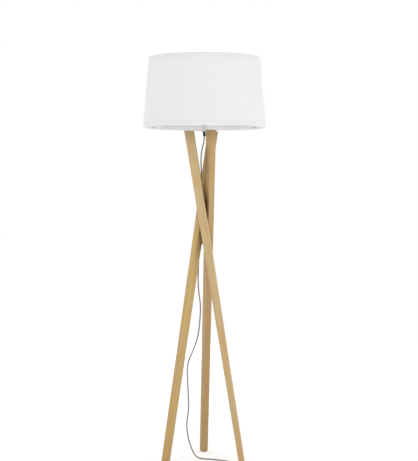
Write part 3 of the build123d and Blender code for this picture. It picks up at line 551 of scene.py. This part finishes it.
cap_outline = [
    (0.0100, CAP_LOW), (0.0112, CAP_LOW), (0.0125, CAP_LOW + 0.0006), (CAP_R, CAP_THREAD[0]),
    (CAP_R, CAP_THREAD[1]), (0.0127, CAP_HIGH - 0.0012), (0.0131, CAP_HIGH), (0.0125, CAP_HIGH),
    (0.0121, CAP_HIGH - 0.0012), (0.0118, CAP_LOW + 0.0016), (0.0100, CAP_LOW + 0.0008),
    (0.0100, CAP_LOW),
]
cap = turned_piece("threaded_bulb_cap", cap_outline, 64)
cut_thread(cap, *CAP_THREAD, CAP_ROWS, CAP_PITCH, CAP_DEPTH, CAP_R)
settle(close_piece(cap), "bulb", "bare_steel", [steel], "bulb_cap")
tip, tree, shader = new_finish("bulb_tip", (0.02, 0.02, 0.02), 0.2)
from_axis = stretched(tree, object_place(tree), (1, 1, 0))
reach = put(tree, "ShaderNodeVectorMath", {0: from_axis}, operation="LENGTH").outputs["Value"]
solder = fade(tree, reach, SOLDER_R + 0.0006, SOLDER_R)
tone = blend_colours(tree, solder, (0.02, 0.02, 0.022, 1), (0.60, 0.59, 0.57, 1))
tree.links.new(tone, shader.inputs["Base Color"])
tree.links.new(solder, shader.inputs["Metallic"])
scuffs = noise(tree, from_axis, 900.0)
tree.links.new(fade(tree, scuffs, 0.3, 0.7, 0.15, 0.4), shader.inputs["Roughness"])
give("bulb_contact", tip)

# Shade: white cotton laminated on a stiff white lining, rolled into a tapered drum with a lap seam
# at the back. Its edges are turned in round the coated wire hoops, with a notch at each spoke.
LOW_HOOP, HIGH_HOOP = (0.22135, 1.21365), (0.20035, 1.46235)
ROLL = 0.00365
CLOTH = 0.0011
TURN_IN = 0.0024
HEM = 0.015
HEM_FOLD = (0.0015, 0.0085)
SHADE_SIDES = 180
ROLL_STEPS, WALL_STEPS = 12, 8
SEAM_ANGLE = math.radians(90)
SEAM_RISE = 0.0006
STRIP = math.radians(2.1)
SPOKES = [math.radians(angle) for angle in (-90, 30, 150)]


def wall_radius(height):
    share = (height - LOW_HOOP[1]) / (HIGH_HOOP[1] - LOW_HOOP[1])
    return ROLL + LOW_HOOP[0] + share * (HIGH_HOOP[0] - LOW_HOOP[0])


def angle_from(place, angle):
    return abs((math.atan2(place.y, place.x) - angle + math.pi) % math.tau - math.pi)


hem_low, hem_high = LOW_HOOP[1] + HEM, HIGH_HOOP[1] - HEM
shade_outline = [
    (wall_radius(hem_low) - TURN_IN, hem_low),
    (LOW_HOOP[0] - HEM_FOLD[0], LOW_HOOP[1] + HEM_FOLD[1]),
]
for step in range(ROLL_STEPS + 1):
    angle = math.pi + math.pi * step / ROLL_STEPS
    shade_outline.append((LOW_HOOP[0] + ROLL * math.cos(angle), LOW_HOOP[1] + ROLL * math.sin(angle)))
for step in range(1, WALL_STEPS):
    height = LOW_HOOP[1] + (HIGH_HOOP[1] - LOW_HOOP[1]) * step / WALL_STEPS
    shade_outline.append((wall_radius(height), height))
for step in range(ROLL_STEPS + 1):
    angle = math.pi * step / ROLL_STEPS
    shade_outline.append((HIGH_HOOP[0] + ROLL * math.cos(angle), HIGH_HOOP[1] + ROLL * math.sin(angle)))
shade_outline += [
    (HIGH_HOOP[0] - HEM_FOLD[0], HIGH_HOOP[1] - HEM_FOLD[1]),
    (wall_radius(hem_high) - TURN_IN, hem_high),
]
panel = turned_piece("cloth_shade", shade_outline, SHADE_SIDES)
bpy.ops.mesh.select_all(action="SELECT")
bpy.ops.mesh.normals_make_consistent(inside=False)
pick(
    panel, "faces",
    lambda middle, face: LOW_HOOP[1] < middle.z < HIGH_HOOP[1]
    and abs(middle.xy.length - wall_radius(middle.z)) < 0.001
    and angle_from(middle, SEAM_ANGLE) < STRIP,
)
bpy.ops.mesh.inset(thickness=0.0004, use_boundary=True)
bpy.ops.transform.shrink_fatten(value=SEAM_RISE)
pick(
    panel, "faces",
    lambda middle, face: middle.z < hem_low and middle.z > LOW_HOOP[1] - 0.001
    and middle.xy.length < wall_radius(middle.z) - 0.5 * TURN_IN
    and min(angle_from(middle, spoke) for spoke in SPOKES) < STRIP,
)
bpy.ops.mesh.delete(type="FACE")
close_piece(panel, SHARP_ANGLE)

weave, ins, outs = shared_effect(
    "plain_weave",
    [("At", "Vector"), ("Threads", "Float"), ("Pitch", "Float")],
    [("Height", "Float"), ("Shadow", "Float")],
)
where = put(weave, "ShaderNodeSeparateXYZ", {0: ins["At"]}).outputs
around = calc(weave, "MULTIPLY", calc(weave, "ARCTAN2", where[1], where[0]), ins["Threads"])
upward = calc(weave, "MULTIPLY", calc(weave, "DIVIDE", where[2], ins["Pitch"]), math.pi)
crossing = calc(weave, "MULTIPLY", calc(weave, "SINE", around), calc(weave, "SINE", upward))
weft = noise(weave, stretched(weave, ins["At"], (9, 9, 1300)), 1.0, 2.0)
warp = noise(weave, stretched(weave, ins["At"], (1300, 1300, 9)), 1.0, 2.0)
slub = calc(weave, "ADD", weft, warp)
raised = calc(weave, "MULTIPLY_ADD", slub, 0.8, calc(weave, "MULTIPLY", crossing, 0.4))
weave.links.new(raised, outs["Height"])
shadow = calc(weave, "MULTIPLY_ADD", crossing, -0.12, slub)
weave.links.new(fade(weave, shadow, 0.75, 1.3), outs["Shadow"])

cotton, tree, shader = new_finish("white_cotton", (0.82, 0.82, 0.82), 0.9)
shader.inputs["Specular IOR Level"].default_value = 0.2
shader.inputs["Sheen Weight"].default_value = 0.12
shader.inputs["Sheen Roughness"].default_value = 0.5
wires = {"At": object_place(tree), "Threads": 1000.0, "Pitch": 0.0007}
made = put(tree, "ShaderNodeGroup", wires, node_tree=weave).outputs
threads = blend_colours(tree, made["Shadow"], (0.890, 0.890, 0.890, 1), (0.842, 0.842, 0.842, 1))
tree.links.new(threads, shader.inputs["Base Color"])
raise_surface(tree, shader, made["Height"], 0.00012)
lining, tree, film = new_finish("white_lining", (0.95, 0.95, 0.95), 0.5)
haze = fade(tree, noise(tree, object_place(tree), 160.0, 3.0), 0.3, 0.7)
tree.links.new(
    blend_colours(tree, haze, (0.955, 0.955, 0.95, 1), (0.94, 0.94, 0.93, 1)), film.inputs["Base Color"]
)
tree.links.new(fade(tree, haze, 0, 1, 0.46, 0.56), film.inputs["Roughness"])
raise_surface(tree, film, noise(tree, object_place(tree), 900.0, 2.0), 0.00003)
for layer in (shader, film):
    layer.inputs["Subsurface Weight"].default_value = 1.0
    layer.inputs["Subsurface Radius"].default_value = (0.0008, 0.0008, 0.0008)
    layer.inputs["Subsurface Scale"].default_value = 1.0
settle(panel, "shade", "shade_cloth", [cotton, lining], "shade_panel")
wall = panel.modifiers.new("cloth", "SOLIDIFY")
wall.thickness = CLOTH
wall.offset = -1
wall.material_offset = 1
bpy.ops.object.modifier_apply(modifier=wall.name)
give("shade_top_hoop", white_coat)
give("shade_lower_frame", white_coat)

# Ring nut: moulded white plastic with finger grooves round its rim. It is screwed down the
# lampholder on to the shade's fitter ring, which it clamps.
ring = eased_copy("shade_ring", 0.0005, "eased_ring_nut")
settle(ring, "clamp_ring", "white_plastic", [white_plastic], "shade_ring")

# Cord to the floor: round sheathed lead of 4.6 mm, out of the grip, down between the legs and along
# the floor to the foot switch. Its line is the solids' route, eased by a few mm to lie as pictured.
CORD = 0.0046
DROP = [
    (0, 0, 1.179), (-0.001, 0, 1.158), (-0.008, 0.0005, 1.137), (-0.0125, 0.001, 1.098),
    (-0.0112, 0.0022, 1.062), (-0.0096, 0.0050, 1.029), (-0.0098, 0.0064, 1.002),
    (-0.0014, 0.0013, 0.980), (0, 0, 0.957), (0, 0, 0.935),
    (0.0003, 0.0008, 0.886), (0.001, -0.0025, 0.841), (0.0009, 0.0158, 0.804),
    (-0.0197, 0.0289, 0.767), (-0.0198, 0.0177, 0.722), (-0.0223, 0.0135, 0.668),
    (-0.0205, 0.012, 0.616), (-0.012, 0.011, 0.562), (-0.0145, 0.0095, 0.508),
    (-0.0205, 0.008, 0.450), (-0.0385, 0.006, 0.397), (-0.0615, 0.005, 0.348),
    (-0.0595, 0.0045, 0.290), (-0.057, 0.004, 0.235), (-0.0545, 0.0035, 0.180),
    (-0.0635, 0.0035, 0.128), (-0.0585, 0.0035, 0.084), (-0.047, 0.003, 0.044),
    (-0.032, 0.002, 0.0125), (-0.014, -0.0015, 0.0024), (0.024, -0.012, 0.0024),
    (0.058, -0.030, 0.0024), (0.088, -0.052, 0.0024), (0.109, -0.080, 0.0024),
    (0.126, -0.110, 0.0024), (0.152, -0.134, 0.0024), (0.174, -0.160, 0.0032),
    (0.172, -0.188, 0.0065), (0.147, -0.205, 0.009), (0.118, -0.205, 0.009),
]


def lay_cord(name, points, finish):
    line = bpy.data.curves.new(name, "CURVE")
    line.dimensions = "3D"
    line.bevel_depth = CORD / 2
    line.bevel_resolution = 5
    line.use_fill_caps = True
    run = line.splines.new("NURBS")
    run.points.add(len(points) - 1)
    for point, place in zip(run.points, points):
        point.co = (*place, 1)
    run.order_u = 3
    run.use_endpoint_u = True
    run.resolution_u = 8
    line.materials.append(finish)
    cord = bpy.data.objects.new(name, line)
    scene.collection.objects.link(cord)
    return cord


sheath, tree, shader = new_finish("cord_sheath", (0.235, 0.190, 0.185), 0.5)
spots = noise(tree, object_place(tree), 60.0, 3.0)
tone = fade(tree, spots, 0.3, 0.7)
dusty = blend_colours(tree, tone, (0.200, 0.156, 0.153, 1), (0.258, 0.203, 0.200, 1))
tree.links.new(dusty, shader.inputs["Base Color"])
tree.links.new(fade(tree, spots, 0.3, 0.7, 0.42, 0.58), shader.inputs["Roughness"])
on_cord = put(tree, "ShaderNodeTexCoord").outputs["UV"]
round_and_along = put(tree, "ShaderNodeSeparateXYZ", {0: on_cord}).outputs
twist = calc(tree, "MULTIPLY_ADD", round_and_along[0], 60.0, round_and_along[1])
lay = calc(tree, "SINE", calc(tree, "MULTIPLY", twist, 2 * math.tau))
raise_surface(tree, shader, lay, 0.00012)
drop = lay_cord("cord_to_switch", DROP, sheath)
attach(drop, "stand")
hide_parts("cord_drop")
give("inner_lead", sheath)

# Foot switch: a black case in two halves on the cord, screwed together from below, with a round
# ribbed button in the cover and a ribbed, tapered bush of soft plastic on the cord at each end.
SWITCH = (0.070, -0.205)
SWITCH_AXIS = 0.009
BUTTON_R, BUTTON_TOP, CROWN = 0.012, 0.027, 0.0025
BUTTON_RIBS, RIB_OUT, RIB_STEP = 5, 0.0088, 0.0014
ROUND_STEPS = 6
BUSH_ROOT, BUSH_TIP = (0.0050, 0.042), (0.0032, 0.064)
BUSH_BORE, BUSH_BACK, BUSH_FLANGE = 0.0024, 0.0364, (0.0065, 0.0384)
BUSH_RIBS, BUSH_RIB = 6, 0.0031
case = skinned_finish("switch_case", (0.012, 0.012, 0.013), 3000.0, 0.36, 0.54, 0.00006)
for node in ("switch_base", "switch_cover"):
    half = eased_copy(node, 0.0007, "eased_" + node)
    settle(half, "stand", "black_plastic", [case], node)
switch_inside = {"switch_latch": black_plastic, "switch_screws": steel}
for node, finish in switch_inside.items():
    give(node, finish)


def quarter_round(radius, top, roll):
    """Outline steps from an upright wall of that radius round to its top."""
    steps = []
    for step in range(ROUND_STEPS + 1):
        angle = math.pi / 2 * step / ROUND_STEPS
        steps.append((radius - roll + roll * math.cos(angle), top - roll + roll * math.sin(angle)))
    return steps


button_outline = [
    (0.003, 0.0118), (0.003, 0.0176), (0.0138, 0.0176), (0.014, 0.0178), (0.014, 0.0194),
    (0.0138, 0.0196), (BUTTON_R, 0.0196),
]
button_outline += quarter_round(BUTTON_R, BUTTON_TOP, CROWN)
for rib in range(BUTTON_RIBS):
    edge = RIB_OUT - RIB_STEP * rib
    for inward, sunk in ((0, 0), (0.0002, 0.0005), (0.0006, 0.0005), (0.0008, 0)):
        button_outline.append((edge - inward, BUTTON_TOP - sunk))
button_outline += [(0.0016, BUTTON_TOP), (ON_AXIS, BUTTON_TOP - 0.0002)]
button = close_piece(turned_piece("ribbed_button", button_outline, 64, True))
button = copies(button, [Matrix.Translation((*SWITCH, 0))])
settle(button, "button", "black_plastic", [black_plastic], "switch_button")

soft_black = skinned_finish("soft_black_plastic", (0.016, 0.016, 0.017), 2400.0, 0.52, 0.70, 0.00006)
bush_outline = [
    (BUSH_BORE, BUSH_BACK), (BUSH_FLANGE[0], BUSH_BACK), BUSH_FLANGE,
    (BUSH_ROOT[0], BUSH_FLANGE[1]), BUSH_ROOT,
]
for rib in range(BUSH_RIBS):
    for ahead, sunk in ((0.0014, 0), (0.0017, 0.0007), (0.0028, 0.0007), (0.0031, 0)):
        reach = BUSH_ROOT[1] + BUSH_RIB * rib + ahead
        share = (reach - BUSH_ROOT[1]) / (BUSH_TIP[1] - BUSH_ROOT[1])
        bush_outline.append((BUSH_ROOT[0] + share * (BUSH_TIP[0] - BUSH_ROOT[0]) - sunk, reach))
bush_outline += [
    (BUSH_TIP[0], BUSH_TIP[1] - 0.0006), (BUSH_TIP[0] - 0.0003, BUSH_TIP[1]), (BUSH_BORE, BUSH_TIP[1]),
    (BUSH_BORE, BUSH_BACK),
]
middle = Matrix.Translation((*SWITCH, SWITCH_AXIS))
for name, side in (("ribbed_bush_in", 1), ("ribbed_bush_out", -1)):
    bush = close_piece(turned_piece(name, bush_outline, 40))
    bush = copies(bush, [middle @ Matrix.Rotation(side * math.pi / 2, 4, "Y")])
    settle(bush, "stand", "black_plastic", [soft_black], "switch_bushings")

# Cord to the plug: the same lead from the foot switch, with the spare length wound into a flat
# coil of two layers under a tie, and on to the plug.
COIL_MIDDLE = (-0.105, -0.150)
COIL_R = 0.037
COIL_PITCH = 0.0052
COIL_LAYER_TURNS = 3.25
COIL_LOW = 0.0039
POINTS_PER_TURN = 16
tail = [
    (0.017, -0.205, 0.009), (-0.007, -0.205, 0.009), (-0.034, -0.2025, 0.0056),
    (-0.060, -0.195, 0.0042), (-0.083, -0.1884, 0.0039),
]
coil_turns = 2 * COIL_LAYER_TURNS
for step in range(round(coil_turns * POINTS_PER_TURN) + 1):
    turn = step / POINTS_PER_TURN
    radius = COIL_R - COIL_PITCH * min(turn, coil_turns - turn)
    radius = radius / math.cos(math.pi / POINTS_PER_TURN)
    climb = min(max((turn - COIL_LAYER_TURNS) / 0.5 + 0.5, 0), 1)
    height = COIL_LOW + COIL_PITCH * (1 - math.cos(math.pi * climb)) / 2
    angle = -math.pi / 2 - math.tau * turn
    x = COIL_MIDDLE[0] + radius * math.cos(angle)
    y = COIL_MIDDLE[1] + radius * math.sin(angle)
    tail.append((x, y, height))
tail += [
    (-0.084, -0.1134, 0.009), (-0.062, -0.119, 0.0084), (-0.042, -0.131, 0.0074),
    (-0.022, -0.144, 0.007), (-0.003, -0.150, 0.007), (0.015, -0.150, 0.007),
]
spare = lay_cord("cord_to_plug", tail, sheath)
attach(spare, "stand")
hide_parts("cord_lead", "cord_coil", "cord_tail")

# Tie and plug: a hook-and-loop strap round the coil, and a flat two-pin plug moulded on the cord,
# with grip grooves across its faces and a ribbed taper. The pins are nickel plated and part sleeved.
PLUG = Vector((0.030, -0.150, 0.007))
PLUG_HALF = 0.0068
PLUG_FACE = 0.034
TAPER_TIP, TAPER_LENGTH = 0.0032, 0.022
TAPER_SLOPE = 0.0018 / 0.0245
GROOVES, FIRST_GROOVE, GROOVE_STEP = 7, 0.0101, 0.0023
GROOVE, GROOVE_TAPER = (0.0014, 0.019, 0.0014), (0.4, 0.97)
RINGS, FIRST_RING, RING_STEP = 6, -0.0194, 0.0031
PIN_R, PIN_OFF, PIN_END, PIN_ROLL = 0.002, 0.0093, 0.053, 0.0012
SLEEVE_R, SLEEVE_END = 0.0018, 0.044
strap = skinned_finish("hook_and_loop", (0.018, 0.018, 0.019), 5200.0, 0.75, 0.95, 0.0005)
tie = eased_copy("cord_tie", 0.0003, "eased_tie")
settle(tie, "stand", "black_plastic", [strap], "cord_tie")
along_x = Matrix.Translation(PLUG) @ Matrix.Rotation(math.pi / 2, 4, "Y")
plug = eased_copy("plug_body", 0.0002, "ribbed_plug")
grooves = []
for step in range(GROOVES):
    reach = FIRST_GROOVE + GROOVE_STEP * step
    for side, turn in ((1, 0), (-1, math.pi)):
        at = Matrix.Translation(PLUG + Vector((reach, 0, side * PLUG_HALF)))
        grooves.append(at @ Matrix.Rotation(turn, 4, "X"))
cut_away(plug, copies(cutter_block(GROOVE, GROOVE_TAPER), grooves))
for step in range(RINGS):
    reach = FIRST_RING + RING_STEP * step
    radius = TAPER_TIP + (reach + TAPER_LENGTH) * TAPER_SLOPE
    ring_outline = [
        (radius - 0.0006, reach - 0.0004), (radius + 0.0024, reach - 0.0010),
        (radius + 0.0024, reach + 0.0010), (radius - 0.0006, reach + 0.0004),
        (radius - 0.0006, reach - 0.0004),
    ]
    cut_away(plug, copies(close_piece(turned_piece("cutter", ring_outline, 40)), [along_x]))
bpy.ops.object.shade_smooth_by_angle(angle=SMOOTH_ANGLE)
moulding = skinned_finish("plug_moulding", (0.013, 0.013, 0.014), 2600.0, 0.42, 0.60, 0.00006)
settle(plug, "stand", "black_plastic", [moulding], "plug_body")
pin_outline = [(SLEEVE_R, PLUG_FACE - 0.008), (SLEEVE_R, SLEEVE_END), (PIN_R, SLEEVE_END)]
pin_outline += quarter_round(PIN_R, PIN_END, PIN_ROLL)
pin_outline.append((ON_AXIS, PIN_END))
pin = turned_piece("sleeved_pins", pin_outline, 32, True)
plated = metal_finish("pin_nickel", (0.68, 0.67, 0.65), (0.55, 0.54, 0.52), 0.26, 0.46, 0.00002)
pin.data.materials.append(moulding)
pin.data.materials.append(plated)
pick(pin, "faces", lambda middle, face: middle.z > SLEEVE_END - 0.0001)
pin.active_material_index = 1
bpy.ops.object.material_slot_assign()
pin = close_piece(pin)
pins = copies(pin, [along_x @ Matrix.Translation((0, side * PIN_OFF, 0)) for side in (-1, 1)])
settle(pins, "stand", "bare_steel", [], "plug_pins")

# Studio: a bright white floor that runs to the horizon, an even white sky, a soft key lamp from the
# front right and a wide soft lamp from behind. The camera stands 5.1 m in front at 0.94 m.
FLOOR_SIZE = 60
FLOOR_GLOW = 0.28
SKY_LIGHT, SKY_SEEN = 0.80, 1.0
bpy.ops.object.select_all(action="DESELECT")
bpy.ops.mesh.primitive_plane_add(size=FLOOR_SIZE, location=(0, 0, 0))
floor = bpy.context.object
floor.name = "floor"
paper, tree, shader = new_finish("white_paper", (0.90, 0.90, 0.90), 0.9)
shader.inputs["Specular IOR Level"].default_value = 0.0
shader.inputs["Emission Color"].default_value = (1, 1, 1, 1)
shader.inputs["Emission Strength"].default_value = FLOOR_GLOW
floor.data.materials.append(paper)

sky = bpy.data.worlds.new("sky")
sky.use_nodes = True
scene.world = sky
tree = sky.node_tree
rays = put(tree, "ShaderNodeLightPath").outputs
seen = calc(tree, "MAXIMUM", rays["Is Camera Ray"], rays["Is Glossy Ray"])
seen = calc(tree, "MAXIMUM", seen, rays["Is Transmission Ray"])
tree.nodes["Background"].inputs["Color"].default_value = (1, 1, 1, 1)
tree.links.new(fade(tree, seen, 0, 1, SKY_LIGHT, SKY_SEEN), tree.nodes["Background"].inputs["Strength"])


def soft_lamp(name, place, aim, size, watts):
    lamp = bpy.data.lights.new(name, "AREA")
    lamp.shape = "DISK"
    lamp.size = size
    lamp.energy = watts
    stand = bpy.data.objects.new(name, lamp)
    stand.location = place
    stand.rotation_euler = (Vector(aim) - Vector(place)).to_track_quat("-Z", "Y").to_euler()
    scene.collection.objects.link(stand)


soft_lamp("key_lamp", (2.1, -3.9, 0.75), (0, 0, 0.9), 1.8, 14)
soft_lamp("back_lamp", (-1.2, 4.2, 1.6), (0, 0, 1.0), 2.4, 22)

IMAGE_HEIGHT = 461
FOCAL_PIXELS = 1396.3
SHIFT_PIXELS = (4.8, -28.7)
EYE = (0, -5.1, 0.94)
EYE_ROLL = -0.002
eye = bpy.data.cameras.new("camera")
eye.sensor_fit = "VERTICAL"
eye.sensor_height = 36
eye.lens = FOCAL_PIXELS * eye.sensor_height / IMAGE_HEIGHT
eye.shift_x, eye.shift_y = (shift / IMAGE_HEIGHT for shift in SHIFT_PIXELS)
camera = bpy.data.objects.new("camera", eye)
camera.location = EYE
camera.rotation_euler = (math.pi / 2, EYE_ROLL, 0)
scene.collection.objects.link(camera)
scene.camera = camera
